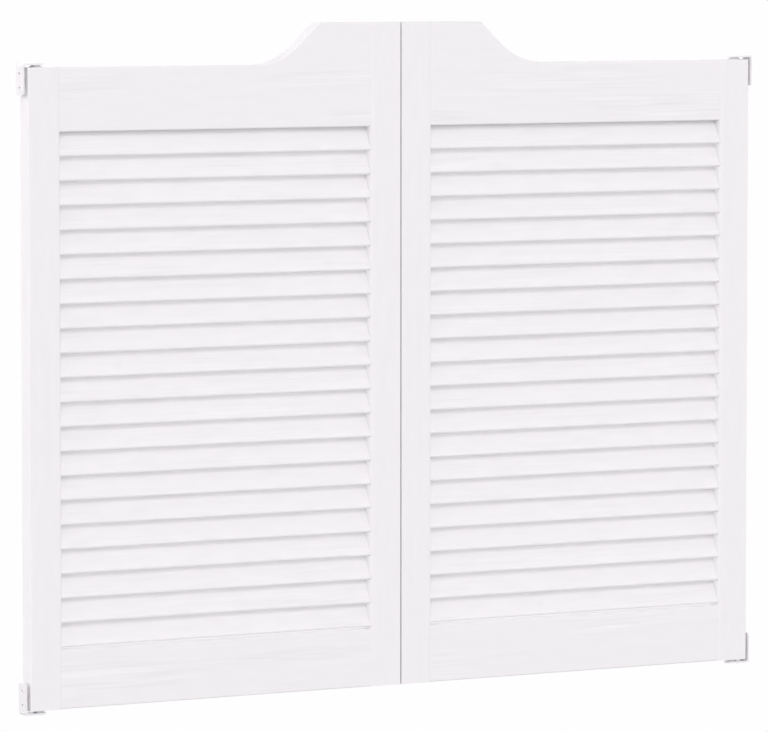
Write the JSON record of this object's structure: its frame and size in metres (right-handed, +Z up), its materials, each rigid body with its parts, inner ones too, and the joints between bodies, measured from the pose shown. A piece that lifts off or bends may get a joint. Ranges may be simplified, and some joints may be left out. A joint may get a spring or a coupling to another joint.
{
  "type": "cafe doors",
  "caption": "Pair of white louvered cafe doors with scrolled top rails, each leaf swinging both ways on pivot pins in small jamb brackets.",
  "frame": {"origin": "middle of the closed pair, at the underside of the bottom brackets, on the midplane of the leaves", "axes": "+X across the pair to the right as seen from the front, -Y out of the front face, +Z up"},
  "size_m": [1.348, 0.0286, 1.0738],
  "materials": {
    "painted_pine": "satin white paint over pine, faint grain showing",
    "bracket_enamel": "white enamel",
    "pin_steel": "zinc plated",
    "bush_nylon": "natural nylon",
    "dowel_beech": "bare beech"
  },
  "bodies": {
    "jamb_brackets": {"left_pivot_pins": "pin_steel", "left_bottom_bracket": "bracket_enamel", "left_top_bracket": "bracket_enamel", "right_pivot_pins": "pin_steel", "right_bottom_bracket": "bracket_enamel", "right_top_bracket": "bracket_enamel"},
    "left_leaf": {"left_hanging_stile": "painted_pine", "left_meeting_stile": "painted_pine", "left_top_rail": "painted_pine", "left_bottom_rail": "painted_pine", "left_louver_01": "painted_pine", "left_louver_02": "painted_pine", "left_louver_03": "painted_pine", "left_louver_04": "painted_pine", "left_louver_05": "painted_pine", "left_louver_06": "painted_pine", "left_louver_07": "painted_pine", "left_louver_08": "painted_pine", "left_louver_09": "painted_pine", "left_louver_10": "painted_pine", "left_louver_11": "painted_pine", "left_louver_12": "painted_pine", "left_louver_13": "painted_pine", "left_louver_14": "painted_pine", "left_louver_15": "painted_pine", "left_louver_16": "painted_pine", "left_louver_17": "painted_pine", "left_louver_18": "painted_pine", "left_louver_19": "painted_pine", "left_louver_20": "painted_pine", "left_louver_21": "painted_pine", "left_dowels": "dowel_beech", "left_pivot_bushes": "bush_nylon"},
    "right_leaf": {"right_hanging_stile": "painted_pine", "right_meeting_stile": "painted_pine", "right_top_rail": "painted_pine", "right_bottom_rail": "painted_pine", "right_louver_01": "painted_pine", "right_louver_02": "painted_pine", "right_louver_03": "painted_pine", "right_louver_04": "painted_pine", "right_louver_05": "painted_pine", "right_louver_06": "painted_pine", "right_louver_07": "painted_pine", "right_louver_08": "painted_pine", "right_louver_09": "painted_pine", "right_louver_10": "painted_pine", "right_louver_11": "painted_pine", "right_louver_12": "painted_pine", "right_louver_13": "painted_pine", "right_louver_14": "painted_pine", "right_louver_15": "painted_pine", "right_louver_16": "painted_pine", "right_louver_17": "painted_pine", "right_louver_18": "painted_pine", "right_louver_19": "painted_pine", "right_louver_20": "painted_pine", "right_louver_21": "painted_pine", "right_dowels": "dowel_beech", "right_pivot_bushes": "bush_nylon"}
  },
  "joints": [
    {"name": "left_leaf_swing", "type": "hinge", "parent": "jamb_brackets", "child": "left_leaf", "pos_m": [-0.646, 0, 0], "axis": [0, 0, 1], "range_deg": [-90, 90], "stiffness_Nm_per_rad": 2},
    {"name": "right_leaf_swing", "type": "hinge", "parent": "jamb_brackets", "child": "right_leaf", "pos_m": [0.646, 0, 0], "axis": [0, 0, -1], "range_deg": [-90, 90], "stiffness_Nm_per_rad": 2}
  ]
}
